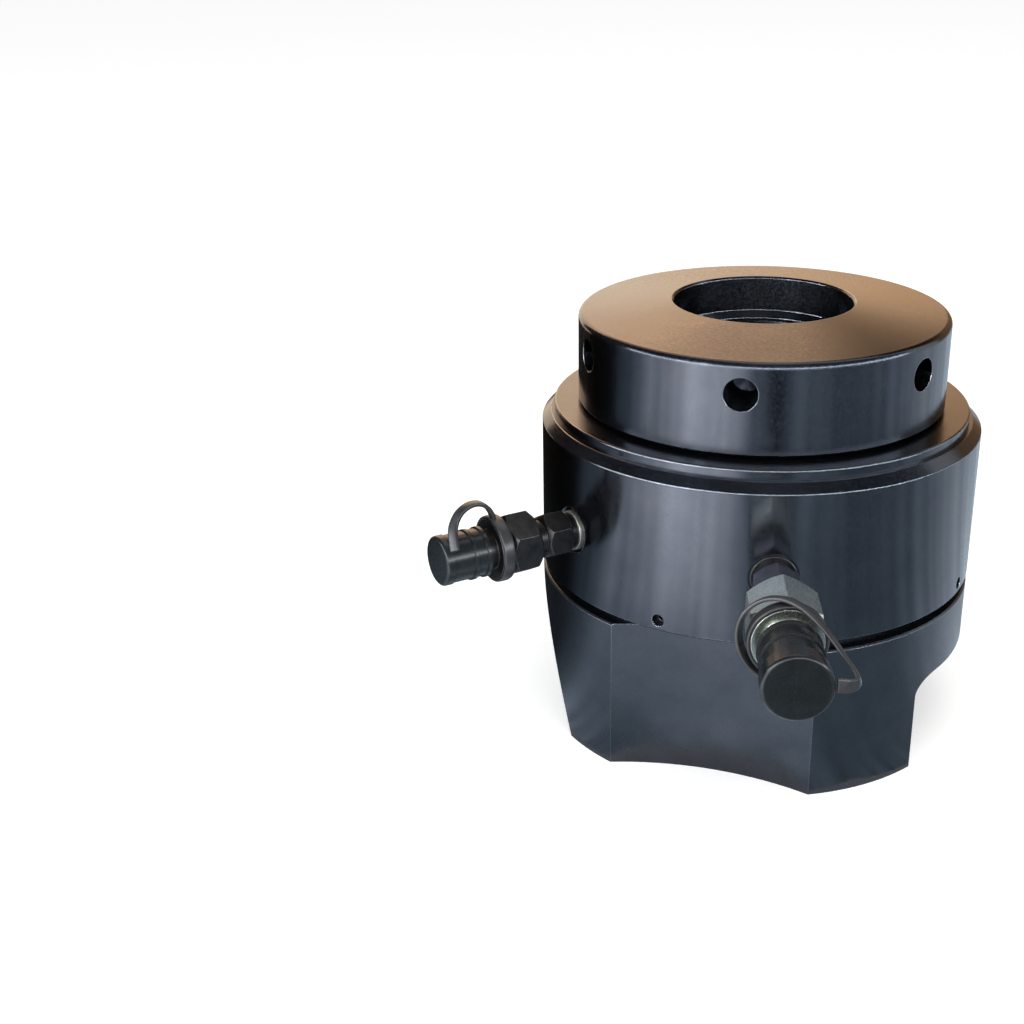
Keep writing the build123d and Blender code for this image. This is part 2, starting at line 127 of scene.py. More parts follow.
# The mix node keeps one pair of inputs for each kind of value. These are those for colours.
MIX_FACTOR, MIX_FIRST, MIX_SECOND, MIX_RESULT = 0, 6, 7, 2


def mix_colour(tree, factor, first, second):
    """Mixes two colours by a factor socket or value."""
    node = tree.nodes.new("ShaderNodeMix")
    node.data_type = "RGBA"
    for index, value in ((MIX_FACTOR, factor), (MIX_FIRST, first), (MIX_SECOND, second)):
        if isinstance(value, bpy.types.NodeSocket):
            tree.links.new(value, node.inputs[index])
        else:
            node.inputs[index].default_value = value
    return node.outputs[MIX_RESULT]


# A noise texture seldom leaves the first range, and a fine one seldom the second.
noise_span = (0.35, 0.65)
speck_span = (0.3, 0.7)


def spread(tree, value, low, high, new_low, new_high):
    """Maps a value from one range to another, and holds it at the ends."""
    node = add_node(tree, "ShaderNodeMapRange", Value=value)
    node.clamp = True
    for name, number in (("From Min", low), ("From Max", high), ("To Min", new_low), ("To Max", new_high)):
        node.inputs[name].default_value = number
    return node.outputs["Result"]


def new_group(name, inputs, outputs):
    """Starts a shader node group with named float inputs and named outputs of a given kind."""
    group = bpy.data.node_groups.new(name, "ShaderNodeTree")
    for label in inputs:
        group.interface.new_socket(label, in_out="INPUT", socket_type="NodeSocketFloat")
    for label, kind in outputs.items():
        group.interface.new_socket(label, in_out="OUTPUT", socket_type="NodeSocket" + kind)
    return group, group.nodes.new("NodeGroupInput"), group.nodes.new("NodeGroupOutput")


def use_group(tree, group, **values):
    """Places a node group in a material with its own values."""
    node = tree.nodes.new("ShaderNodeGroup")
    node.node_tree = group
    for name, value in values.items():
        node.inputs[name].default_value = value
    return node


def new_material(name):
    """A material with only a Principled BSDF, its tree and its shader."""
    material = bpy.data.materials.new(name)
    material.use_nodes = True
    return material, material.node_tree, material.node_tree.nodes["Principled BSDF"]


print("node helpers ready")

# %% [markdown]
# ## Floor and background
#
# The floor is a plain pale sheet. Its material adds a little white for the camera's own rays, so
# the sheet reads as white paper while the shadow under the tool stays. The world is white where
# the camera, a reflection or a glass ray meets it, and a plain level of light everywhere else.

# %% Floor
floor_half = 9.0
floor_grey = 0.80
camera_lift = 0.50
floor_mesh = bpy.data.meshes.new("floor")
floor_mesh.from_pydata([(-floor_half, -floor_half, 0.0), (floor_half, -floor_half, 0.0),
                        (floor_half, floor_half, 0.0), (-floor_half, floor_half, 0.0)], [], [(0, 1, 2, 3)])
floor = bpy.data.objects.new("floor", floor_mesh)
bpy.context.scene.collection.objects.link(floor)

floor_paint, tree, shader = new_material("floor_paper")
shader.inputs["Base Color"].default_value = (floor_grey, floor_grey, floor_grey, 1.0)
shader.inputs["Roughness"].default_value = 0.9
shader.inputs["Specular IOR Level"].default_value = 0.0
shader.inputs["Emission Color"].default_value = (1.0, 1.0, 1.0, 1.0)
light_path = add_node(tree, "ShaderNodeLightPath")
lift = math_node(tree, "MULTIPLY", light_path.outputs["Is Camera Ray"], camera_lift)
tree.links.new(lift, shader.inputs["Emission Strength"])
floor_mesh.materials.append(floor_paint)
print("floor is", 2 * floor_half, "m across")

# %% World
fill_light = 0.55
seen_light = 1.0
world = bpy.data.worlds.new("studio_white")
bpy.context.scene.world = world
world.use_nodes = True
tree = world.node_tree
background = tree.nodes["Background"]
light_path = add_node(tree, "ShaderNodeLightPath")
seen = math_node(tree, "MAXIMUM", light_path.outputs["Is Camera Ray"], light_path.outputs["Is Glossy Ray"])
seen = math_node(tree, "MAXIMUM", seen, light_path.outputs["Is Transmission Ray"])
strength = spread(tree, seen, 0.0, 1.0, fill_light, seen_light)
background.inputs["Color"].default_value = (1.0, 1.0, 1.0, 1.0)
tree.links.new(strength, background.inputs["Strength"])
bpy.context.scene.view_settings.view_transform = "Standard"
print("world is white, view is", bpy.context.scene.view_settings.view_transform)

# %% [markdown]
# ## Reflection cards
#
# Blackened steel shows mostly what it reflects. A photographer shapes that with cards: a warm
# wall behind makes the flat tops tan. A ring of light round the tool is black on the far left,
# brightest on the near left and almost black just right of the middle, which gives the dark band
# and the upright streaks. The upright sides mirror the floor, so the ring lies on the floor round
# the tool and then stands up in front. The cards are seen in reflections only.

# %% Card shapes
camera_side = -84.0
card_steps = 12
card_lift = 2.0 * MM


def stage_piece(name, points, quads, material):
    """A stage mesh that only reflections see."""
    mesh = bpy.data.meshes.new(name)
    mesh.from_pydata(points.tolist(), [], quads.tolist())
    mesh.materials.append(material)
    piece = bpy.data.objects.new(name, mesh)
    bpy.context.scene.collection.objects.link(piece)
    piece.visible_camera = False
    piece.visible_diffuse = False
    piece.visible_shadow = False


def fan_quads(rows, columns):
    """The corner numbers of every quad in a grid of points, row after row."""
    first = (np.arange(rows - 1) * columns)[:, None] + np.arange(columns - 1)[None, :]
    quads = np.stack([first, first + 1, first + columns + 1, first + columns], axis=-1)
    return quads.reshape(-1, 4)


def card(name, turn, width, material, near, far, high):
    """A card as a fan: a strip on the floor from near to far, then a sheet that stands up to a
    height. The row is the angle and the column is the place along floor and sheet. A turn of 0
    is the camera's side and positive turns go to its right."""
    angle = np.radians(camera_side + turn + np.linspace(-width / 2, width / 2, card_steps + 1))[:, None]
    distance = np.array([near, far, far])[None, :]
    height = np.array([card_lift, card_lift, high])[None, :]
    points = np.stack([distance * np.cos(angle), distance * np.sin(angle), height + 0 * angle], axis=-1)
    stage_piece(name, points.reshape(-1, 3), fan_quads(*points.shape[:2]), material)


def glow(name, colour=(1.0, 1.0, 1.0), strength=1.0):
    """A plain emitting material."""
    material, tree, shader = new_material(name)
    shader.inputs["Base Color"].default_value = (0.0, 0.0, 0.0, 1.0)
    shader.inputs["Specular IOR Level"].default_value = 0.0
    shader.inputs["Emission Color"].default_value = (*colour, 1.0)
    shader.inputs["Emission Strength"].default_value = strength
    return material


print("card shapes ready")

# %% Ring of light
# Each pair is a turn in degrees from the camera's side and the strength of the light there. The
# bridge mirrors the floor near the tool, the load cell and the puller mirror it farther out.
cool_white = (0.93, 0.95, 1.0, 1.0)
dusk_blue = (0.58, 0.80, 1.0, 1.0)
brightest = 4.0
far_levels = [(-180, 0.01), (-112, 0.0), (-97, 0.0), (-84, 0.4), (-74, 0.8), (-66, 1.65), (-50, 2.0),
              (-38, 4.0), (-26, 3.2), (-14, 2.5), (0, 0.7), (10, 0.04), (22, 0.76), (48, 0.40), (68, 0.54),
              (90, 0.95), (112, 1.15), (132, 0.85), (180, 0.6)]
near_levels = [(-180, 0.02), (-92, 0.02), (-76, 0.3), (-68, 0.8), (-26, 0.5), (-10, 1.2), (4, 0.9),
               (32, 0.42), (60, 0.47), (90, 1.0), (130, 0.8), (180, 0.4)]
near_end = 0.20
far_start = 0.40
stripes_per_radian = 11.0
stripe_depth = 0.30
whiteness_rate = 0.5
ring_inner = 0.112
ring_outer = 1.18
front_width = 250.0
front_outer = 2.2
front_height = 0.6


def level_ramp(tree, share, levels):
    """A smooth run of light levels round the tool, one stop for each turn and strength."""
    ramp = add_node(tree, "ShaderNodeValToRGB", Fac=share)
    ramp.color_ramp.interpolation = "EASE"
    while len(ramp.color_ramp.elements) < len(levels):
        ramp.color_ramp.elements.new(1.0)
    for stop, (turn, strength) in zip(ramp.color_ramp.elements, levels):
        stop.position = (turn + 180.0) / 360.0
        stop.color = (strength / brightest, strength / brightest, strength / brightest, 1.0)
    return ramp.outputs["Color"]


ring_paper = glow("ring_paper")
tree = ring_paper.node_tree
place = add_node(tree, "ShaderNodeTexCoord").outputs["Object"]
turned_place = add_node(tree, "ShaderNodeVectorRotate", {"rotation_type": "Z_AXIS"}, Vector=place)
turned_place.inputs["Angle"].default_value = radians(-camera_side)
parts = add_node(tree, "ShaderNodeSeparateXYZ", Vector=turned_place.outputs["Vector"])
angle = math_node(tree, "ARCTAN2", parts.outputs["Y"], parts.outputs["X"])
turn_share = spread(tree, angle, -np.pi, np.pi, 0.0, 1.0)
from_axis = add_node(tree, "ShaderNodeVectorMath", {"operation": "LENGTH"})
tree.links.new(place, from_axis.inputs[0])
far_share = spread(tree, from_axis.outputs["Value"], near_end, far_start, 0.0, 1.0)
level = mix_colour(tree, far_share, level_ramp(tree, turn_share, near_levels),
                   level_ramp(tree, turn_share, far_levels))
stripes = add_node(tree, "ShaderNodeTexNoise", {"noise_dimensions": "1D"}, W=angle, Scale=stripes_per_radian,
                   Detail=4.0)
stripe_level = spread(tree, stripes.outputs["Fac"], *noise_span, (1.0 - stripe_depth) * brightest,
                      (1.0 + stripe_depth) * brightest)
strength = math_node(tree, "MULTIPLY", level, stripe_level)
whiteness = math_node(tree, "MULTIPLY", strength, whiteness_rate, clamp=True)
colour = mix_colour(tree, whiteness, dusk_blue, cool_white)
tree.links.new(colour, tree.nodes["Principled BSDF"].inputs["Emission Color"])
tree.links.new(strength, tree.nodes["Principled BSDF"].inputs["Emission Strength"])
card("ring_on_the_floor", 0.0, 360.0, ring_paper, near=ring_inner, far=ring_outer, high=2 * card_lift)
card("ring_in_front", 0.0, front_width, ring_paper, near=ring_outer, far=front_outer, high=front_height)
print("light levels round the tool:", len(far_levels), "far and", len(near_levels), "near")

# %% Bands over the front
# One band is bright, low over the front, and draws the thin lines along the rounded edges. The
# other two are dark, one overhead and one on the far left, and keep the white world out of the
# reflections there.
band_turns = 25
band_heights = 4


def sky_band(name, turn, width, low, high, distance, material):
    """A band of a sphere over the front: the row is the turn and the column is the height angle."""
    angle = np.radians(camera_side + turn + np.linspace(-width / 2, width / 2, band_turns))[:, None]
    rise = np.radians(np.linspace(low, high, band_heights))[None, :]
    points = distance * np.stack([np.cos(rise) * np.cos(angle), np.cos(rise) * np.sin(angle),
                                  np.sin(rise) + 0 * angle], axis=-1)
    stage_piece(name, points.reshape(-1, 3), fan_quads(*points.shape[:2]), material)


edge_paper = glow("edge_light", (0.86, 0.92, 1.0), 11.0)
ceiling_paper = glow("dark_ceiling", (0.10, 0.14, 0.19), 0.5)
left_paper = glow("dark_left", (0.02, 0.02, 0.03), 1.0)
sky_band("edge_light", turn=-5.0, width=200.0, low=14.0, high=24.0, distance=2.6, material=edge_paper)
sky_band("dark_ceiling", turn=0.0, width=220.0, low=34.0, high=88.0, distance=2.5, material=ceiling_paper)
sky_band("dark_left", turn=-112.0, width=52.0, low=2.0, high=88.0, distance=2.4, material=left_paper)
print("one bright band for the edges and two dark ones")

# %% Warm wall
# The flat tops mirror this wall: their back edge its foot, and their front edge its upper part.
# It is brightest on the left, more orange higher up and to the right, dim at its foot, and dark
# to the right higher up. Each range is an axis, the two ends on it in metres, and the values there.
wall_start = 1.2
wall_distance = 2.6
wall_height = 3.4
wall_width = 110.0
low_wall = (1.0, 0.80, 0.59, 1.0)
high_wall = (1.0, 0.61, 0.36, 1.0)
right_wall = (1.0, 0.60, 0.33, 1.0)
wall_ranges = {
    "orange_upwards": ("Z", 0.5, 1.5, 0.0, 1.0),
    "orange_rightwards": ("X", -0.7, 0.1, 0.0, 1.0),
    "from_left": ("X", -0.7, 0.2, 2.9, 1.95),
    "from_foot": ("Z", 0.4, 1.6, 0.52, 1.0),
    "to_top": ("Z", 1.84, 2.0, 1.0, 0.3),
    "upper_glow": ("Z", 1.45, 1.7, 1.0, 1.35),
    "right_side": ("X", -0.1, 0.17, 0.0, 1.0),
    "dark_upwards": ("Z", 0.9, 1.6, 0.0, 0.92),
    "far_right": ("X", 0.28, 0.5, 1.0, 0.3),
}

warm_paper = glow("warm_paper")
tree = warm_paper.node_tree
place = add_node(tree, "ShaderNodeTexCoord").outputs["Object"]
parts = add_node(tree, "ShaderNodeSeparateXYZ", Vector=place)
wall = {}
for name, (axis, *numbers) in wall_ranges.items():
    wall[name] = spread(tree, parts.outputs[axis], *numbers)
left_colour = mix_colour(tree, wall["orange_upwards"], low_wall, high_wall)
wall_colour = mix_colour(tree, wall["orange_rightwards"], left_colour, right_wall)
dark_corner = math_node(tree, "MULTIPLY", wall["right_side"], wall["dark_upwards"])
shade = math_node(tree, "MULTIPLY", math_node(tree, "SUBTRACT", 1.0, dark_corner), wall["far_right"])
upper = math_node(tree, "MULTIPLY", wall["to_top"], wall["upper_glow"])
lower = math_node(tree, "MULTIPLY", wall["from_left"], wall["from_foot"])
strength = math_node(tree, "MULTIPLY", lower, math_node(tree, "MULTIPLY", upper, shade))
tree.links.new(wall_colour, tree.nodes["Principled BSDF"].inputs["Emission Color"])
tree.links.new(strength, tree.nodes["Principled BSDF"].inputs["Emission Strength"])
card("warm_wall", 180.0, wall_width, warm_paper, near=wall_start, far=wall_distance, high=wall_height)
print("the wall stands", wall_distance, "m behind")

# %% [markdown]
# ## Lamps
#
# Three soft lamps light the plastics, the rubber and the floor: two narrow ones on the left and a
# wide one above.

# %% Lamps
lamp_aim = Vector((0.0, 0.0, 0.1))


def area_lamp(name, turn, distance, height, width, length, power, colour):
    """A flat lamp that faces the middle of the tool, placed by its turn from the camera's side."""
    lamp = bpy.data.lights.new(name, "AREA")
    lamp.shape = "RECTANGLE"
    lamp.size = width
    lamp.size_y = length
    lamp.energy = power
    lamp.color = colour
    piece = bpy.data.objects.new(name, lamp)
    bpy.context.scene.collection.objects.link(piece)
    angle = radians(camera_side + turn)
    piece.location = (distance * cos(angle), distance * sin(angle), height)
    aim = lamp_aim - piece.location
    piece.rotation_euler = aim.to_track_quat("-Z", "Y").to_euler()


daylight = (0.93, 0.96, 1.0)
lamplight = (1.0, 0.98, 0.95)
area_lamp("window_left", turn=-34.0, distance=2.2, height=1.3, width=0.16, length=1.6, power=9.0,
          colour=daylight)
area_lamp("window_far_left", turn=-48.0, distance=2.2, height=1.3, width=0.22, length=1.6, power=7.0,
          colour=daylight)
area_lamp("soft_top", turn=20.0, distance=0.9, height=2.4, width=1.6, length=1.6, power=28.0,
          colour=lamplight)

# %% [markdown]
# ## Shared surface effects
#
# Three effects come back in most of the metals. Turning marks are the fine rings that a lathe
# leaves, worked out from the distance to the axis and the height along it. Mottling is the
# cloudy colour of an oxide bath. Edge rounding finds corners by comparing a rounded normal with
# the true one. The rounded normal gives every machined edge its thin bright line, and the same
# mask lightens the steel's colour there: partly real wear, partly a painted highlight.

# %% Turning marks
turning_marks, group_in, group_out = new_group(
    "turning_marks", ["Spacing"], {"Height": "Float"})
coordinates = add_node(turning_marks, "ShaderNodeTexCoord").outputs["Object"]
parts = add_node(turning_marks, "ShaderNodeSeparateXYZ", Vector=coordinates)
across = math_node(turning_marks, "SQRT", math_node(
    turning_marks, "ADD",
    math_node(turning_marks, "POWER", parts.outputs["X"], 2.0),
    math_node(turning_marks, "POWER", parts.outputs["Y"], 2.0)))
rings = math_node(turning_marks, "DIVIDE", across, group_in.outputs["Spacing"])
steps = math_node(turning_marks, "DIVIDE", parts.outputs["Z"], group_in.outputs["Spacing"])
ring_place = add_node(turning_marks, "ShaderNodeCombineXYZ", X=rings, Y=steps)
ring_noise = add_node(turning_marks, "ShaderNodeTexNoise", {"noise_dimensions": "2D"},
                      Vector=ring_place.outputs[0], Scale=1.0, Detail=2.0)
turning_marks.links.new(ring_noise.outputs["Fac"], group_out.inputs["Height"])
print("group:", turning_marks.name)

# %% Mottling
specks_per_cloud = 22.0
mottling, group_in, group_out = new_group(
    "oxide_mottling", ["Size"], {"Cloud": "Float", "Speck": "Float"})
coordinates = add_node(mottling, "ShaderNodeTexCoord").outputs["Object"]
scale = math_node(mottling, "DIVIDE", 1.0, group_in.outputs["Size"])
cloud = add_node(mottling, "ShaderNodeTexNoise", Vector=coordinates, Scale=scale, Detail=5.0, Roughness=0.6)
fine_scale = math_node(mottling, "MULTIPLY", scale, specks_per_cloud)
speck = add_node(mottling, "ShaderNodeTexNoise", Vector=coordinates, Scale=fine_scale, Detail=2.0)
mottling.links.new(cloud.outputs["Fac"], group_out.inputs["Cloud"])
mottling.links.new(speck.outputs["Fac"], group_out.inputs["Speck"])
print("group:", mottling.name)

# %% Edge rounding, with real wear and a painted highlight
# The agreement of the two normals is 1 on a flat face and falls towards a corner.
face_agreement = 0.99
edge_agreement = 0.85
edge_rounding, group_in, group_out = new_group(
    "edge_rounding", ["Radius"], {"Mask": "Float", "Normal": "Vector"})
rounded = add_node(edge_rounding, "ShaderNodeBevel", {"samples": 4}, Radius=group_in.outputs["Radius"])
true_normal = add_node(edge_rounding, "ShaderNodeNewGeometry").outputs["Normal"]
agreement = add_node(edge_rounding, "ShaderNodeVectorMath", {"operation": "DOT_PRODUCT"})
edge_rounding.links.new(rounded.outputs["Normal"], agreement.inputs[0])
edge_rounding.links.new(true_normal, agreement.inputs[1])
edge_mask = spread(edge_rounding, agreement.outputs["Value"], face_agreement, edge_agreement, 0.0, 1.0)
edge_rounding.links.new(edge_mask, group_out.inputs["Mask"])
edge_rounding.links.new(rounded.outputs["Normal"], group_out.inputs["Normal"])
print("group:", edge_rounding.name)

# %% [markdown]
# ## Machined steel
#
# One function makes every steel here, because they differ only in colour, gloss and marks. The
# lathe leaves grooves that run round the axis, so a highlight stretches across them: the shader's
# anisotropy with a radial tangent does that. Plain milled faces get none.

# %% Steel
mark_spacing = 0.9 * MM
wear_and_highlight_share = 0.85
gloss_below = 0.04
gloss_above = 0.05
quarter_turn = 0.25


def steel(name, dark, light, roughness, marks=0.0, grain=0.0, mottle=18.0, edge=0.5, wear_and_highlight_colour=None,
          turn=None):
    """A metal whose colour drifts between two tones, with lathe marks and fine grain. Its edges are
    lightened in colour, partly as real wear and partly as a painted highlight. Marks and grain
    are heights and mottle and edge are sizes, all in millimetres. The turn is how far the
    lathe's grooves stretch a highlight."""
    material, tree, shader = new_material(name)
    clouds = use_group(tree, mottling, Size=mottle * MM)
    edge_finder = use_group(tree, edge_rounding, Radius=edge * MM)
    blend = spread(tree, clouds.outputs["Cloud"], *noise_span, 0.0, 1.0)
    colour = mix_colour(tree, blend, (*dark, 1.0), (*light, 1.0))
    # The edge mask lightens the colour at every edge: partly real wear, partly a painted highlight.
    wear_and_highlight = math_node(tree, "MULTIPLY", edge_finder.outputs["Mask"], wear_and_highlight_share)
    colour = mix_colour(tree, wear_and_highlight, colour, (*(wear_and_highlight_colour or light), 1.0))
    tree.links.new(colour, shader.inputs["Base Color"])
    shader.inputs["Metallic"].default_value = 1.0
    gloss = spread(tree, clouds.outputs["Speck"], *speck_span, roughness - gloss_below,
                   roughness + gloss_above)
    tree.links.new(gloss, shader.inputs["Roughness"])
    height = math_node(tree, "MULTIPLY", clouds.outputs["Speck"], grain)
    if marks:
        rings = use_group(tree, turning_marks, Spacing=mark_spacing)
        height = math_node(tree, "ADD", height, math_node(tree, "MULTIPLY", rings.outputs["Height"], marks))
    bump = add_node(tree, "ShaderNodeBump", Height=height, Normal=edge_finder.outputs["Normal"])
    bump.inputs["Strength"].default_value = 1.0
    bump.inputs["Distance"].default_value = MM
    tree.links.new(bump.outputs["Normal"], shader.inputs["Normal"])
    if turn:
        shader.inputs["Anisotropic"].default_value = turn
        shader.inputs["Anisotropic Rotation"].default_value = quarter_turn
        tangent = add_node(tree, "ShaderNodeTangent", {"direction_type": "RADIAL", "axis": "Z"})
        tree.links.new(tangent.outputs["Tangent"], shader.inputs["Tangent"])
    return material


def dress(material, *nodes):
    """Puts one material on the CAD nodes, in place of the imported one."""
    for node in nodes:
        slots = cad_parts[node].material_slots
        for index in range(len(slots)):
            slots[index].material = material
    print(material.name, "on", ", ".join(nodes))


# The light edge colours below are partly real wear and partly a painted highlight on the edges.
turned_black = steel("turned_black_steel", (0.062, 0.068, 0.080), (0.076, 0.082, 0.095), 0.20,
                     marks=0.004, turn=0.75, mottle=30.0, wear_and_highlight_colour=(0.60, 0.62, 0.66))
milled_black = steel("milled_black_steel", (0.070, 0.077, 0.090), (0.082, 0.089, 0.102), 0.30,
                     grain=0.005, mottle=14.0, edge=0.6, wear_and_highlight_colour=(0.30, 0.31, 0.33))
dress(turned_black, "load_cell_body", "stop_ring", "puller")
dress(milled_black, "bridge", "nut_socket")

# %% Inner steels
ground_steel = steel("ground_steel", (0.50, 0.50, 0.51), (0.58, 0.58, 0.59), 0.22, marks=0.01)
spring_steel = steel("spring_steel", (0.20, 0.20, 0.21), (0.28, 0.28, 0.29), 0.35)
dress(ground_steel, "piston", "left_poppet", "front_poppet")
dress(spring_steel, "snap_ring", "return_springs", "left_poppet_spring", "front_poppet_spring")

# %% Coupling steels
black_plate = steel("black_plated_steel", (0.030, 0.030, 0.032), (0.055, 0.053, 0.052), 0.34,
                    grain=0.02, mottle=6.0, wear_and_highlight_colour=(0.22, 0.21, 0.20))
grey_plate = steel("grey_plated_steel", (0.44, 0.46, 0.40), (0.52, 0.54, 0.47), 0.25,
                   grain=0.01, mottle=6.0, wear_and_highlight_colour=(0.75, 0.75, 0.72))
purple_plate = steel("purple_plated_steel", (0.085, 0.080, 0.095), (0.12, 0.112, 0.13), 0.30,
                     grain=0.01, mottle=6.0, wear_and_highlight_colour=(0.40, 0.38, 0.42))
zinc_washer = steel("zinc_washer", (0.62, 0.60, 0.50), (0.75, 0.73, 0.62), 0.35, mottle=4.0)
dress(black_plate, "left_adaptor", "left_coupling_body", "front_sealing_washer", "swivel_screws")
dress(purple_plate, "front_adaptor")
dress(grey_plate, "front_coupling_body")
dress(zinc_washer, "left_sealing_washer")

# %% [markdown]
# ## Plastic and rubber
#
# The dust caps, straps and seals are moulded. A moulded face has a faint skin of fine bumps and a
# soft sheen, and no metal in it, so the same two groups feed a plain shader.

# %% Moulded finishes
mould_mottle = 7.0 * MM
mould_edge = 0.4 * MM
mould_gloss = 0.05


def moulded(name, dark, light, roughness, grain, shine=0.5):
    """A moulded plastic or rubber: two close tones, fine bumps and softened edges."""
    material, tree, shader = new_material(name)
    shader.inputs["Specular IOR Level"].default_value = shine
    clouds = use_group(tree, mottling, Size=mould_mottle)
    edge_finder = use_group(tree, edge_rounding, Radius=mould_edge)
    blend = spread(tree, clouds.outputs["Cloud"], *noise_span, 0.0, 1.0)
    colour = mix_colour(tree, blend, (*dark, 1.0), (*light, 1.0))
    tree.links.new(colour, shader.inputs["Base Color"])
    gloss = spread(tree, clouds.outputs["Speck"], *speck_span, roughness - mould_gloss,
                   roughness + mould_gloss)
    tree.links.new(gloss, shader.inputs["Roughness"])
    height = math_node(tree, "MULTIPLY", clouds.outputs["Speck"], grain)
    bump = add_node(tree, "ShaderNodeBump", Height=height, Normal=edge_finder.outputs["Normal"])
    bump.inputs["Distance"].default_value = MM
    tree.links.new(bump.outputs["Normal"], shader.inputs["Normal"])
    return material


cap_black = moulded("cap_black", (0.010, 0.013, 0.015), (0.016, 0.020, 0.023), 0.24, 0.004, shine=0.4)
strap_black = moulded("strap_black", (0.030, 0.030, 0.033), (0.045, 0.045, 0.048), 0.30, 0.01)
seal_black = moulded("seal_black", (0.012, 0.012, 0.012), (0.020, 0.020, 0.020), 0.5, 0.03)
backup_white = moulded("backup_white", (0.72, 0.70, 0.65), (0.80, 0.78, 0.73), 0.45, 0.01)
dress(cap_black, "left_dust_cap", "front_dust_cap")
dress(strap_black, "left_cap_strap", "front_cap_strap")
dress(seal_black, "piston_seal", "cell_seal", "wiper_ring")
dress(backup_white, "piston_backup_ring", "cell_backup_ring")

# %% [markdown]
# ## Meshes from formulas
#
# The next pieces are surfaces worked out as whole arrays: a grid of points from two parameters,
# joined into quads. Where a direction comes back to its start, the grid is closed on itself.

# %% Grid surface
def grid_piece(name, points, close_rows=False, close_columns=False, smooth=True):
    """Makes a mesh object from points of shape (rows, columns, 3), in metres."""
    number = np.arange(points.shape[0] * points.shape[1]).reshape(points.shape[:2])
    if close_rows:
        number = np.concatenate([number, number[:1]], axis=0)
    if close_columns:
        number = np.concatenate([number, number[:, :1]], axis=1)
    quads = np.stack([number[:-1, :-1], number[:-1, 1:], number[1:, 1:], number[1:, :-1]], axis=-1)
    mesh = bpy.data.meshes.new(name)
    mesh.from_pydata(points.reshape(-1, 3).tolist(), [], quads.reshape(-1, 4).tolist())
    mesh.polygons.foreach_set("use_smooth", np.full(len(mesh.polygons), smooth))
    mesh.update()
    piece = bpy.data.objects.new(name, mesh)
    bpy.context.scene.collection.objects.link(piece)
    return piece


print("grid_piece ready")

# %% [markdown]
# ## The stud thread
#
# The puller takes an M80 stud with a 6 mm pitch. In the CAD model its bore is plain. The thread
# is a profile of one pitch, carried round the axis while it climbs: two flat lands, a root at the
# wall and a crest towards the axis, joined by flanks at 60 degrees.

# %% Stud thread
pitch = 6.0
root_r = 39.95
crest_r = 36.75
thread_low = 95.0
thread_high = 193.0
run_out_turns = 0.8
steps_per_turn = 60
profile_places = [0.0, 1 / 16, 6 / 16, 10 / 16, 15 / 16, 1.0]
profile_depths = [0.0, 0.0, 1.0, 1.0, 0.0, 0.0]


def thread_surface():
    """Points of the thread: the row is the turn angle and the column is the place in one pitch.
    The radius goes root, root, crest, crest, root, root over the pitch, and the height is the
    start plus the pitch times the turns made plus the place in the pitch."""
    turns = (thread_high - thread_low) / pitch - 1.0
    angle = np.linspace(0.0, 2.0 * np.pi * turns, int(turns * steps_per_turn) + 1)[:, None]
    place = np.array(profile_places)[None, :]
    depth = np.array(profile_depths)[None, :] * (root_r - crest_r)
    turn = angle / (2.0 * np.pi)
    ends = np.clip(np.minimum(turn, turns - turn) / run_out_turns, 0.0, 1.0)
    radius = root_r - depth * ends
    height = (thread_low + pitch * (turn + place)) * np.ones_like(radius)
    return np.stack([radius * np.cos(angle), radius * np.sin(angle), height], axis=-1) * MM


stud_thread = grid_piece("stud_thread", thread_surface(), smooth=False)
stud_thread.data.materials.append(turned_black)
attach(stud_thread, "puller")
print("thread faces:", len(stud_thread.data.polygons))

# %% [markdown]
# ## Coil springs
#
# Eight return springs push the piston down, and a small one holds each poppet shut. In the CAD
# model they are sleeves. A coil is a circle carried along a helix, with its end turns closed up
# to lie flat.

# %% Coil
flat_turns = 0.9
both_flats = 2.0 * flat_turns


def coil_points(length, coil_r, wire_r, turns, round_steps=20, wire_steps=8):
    """A coil along +Z from 0 to its length: the row is the place along the helix, the column the
    angle round the wire. Each end turn climbs by no more than half the wire, so it lies flat, and
    the turns between them climb evenly."""
    share = np.linspace(0.0, 1.0, int(turns * round_steps) + 1)
    angle = 2.0 * np.pi * turns * share
    climbing = turns - both_flats
    climb = np.clip((share * turns - flat_turns) / climbing, 0.0, 1.0)
    flat_height = wire_r * 2.0 * (share * turns - climb * climbing).clip(0.0, both_flats) / both_flats
    height = wire_r + flat_height + climb * (length - 4.0 * wire_r)
    outward = np.stack([np.cos(angle), np.sin(angle), np.zeros_like(angle)], axis=-1)
    centre = outward * coil_r + np.stack([0 * angle, 0 * angle, height], axis=-1)
    around = np.linspace(0.0, 2.0 * np.pi, wire_steps, endpoint=False)[None, :, None]
    upward = np.array([0.0, 0.0, 1.0])
    ring = centre[:, None, :] + wire_r * (np.cos(around) * outward[:, None, :] + np.sin(around) * upward)
    first = np.repeat(centre[:1, None, :], wire_steps, axis=1)
    last = np.repeat(centre[-1:, None, :], wire_steps, axis=1)
    return np.concatenate([first, ring, last], axis=0)


print("coil_points ready")

# %% Return springs
spring_count = 8
spring_circle = 81.025
spring_low = 134.1
spring_high = 157.5
spring_turns = 6.0
one_coil = coil_points(spring_high - spring_low, coil_r=4.1, wire_r=0.8, turns=spring_turns)
for number in range(spring_count):
    angle = 2.0 * np.pi * number / spring_count
    place = np.array([spring_circle * cos(angle), spring_circle * sin(angle), spring_low])
    coil = grid_piece(f"return_spring_{number + 1}", (one_coil + place) * MM, close_columns=True)
    coil.data.materials.append(spring_steel)
    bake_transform(coil)
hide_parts("return_springs")

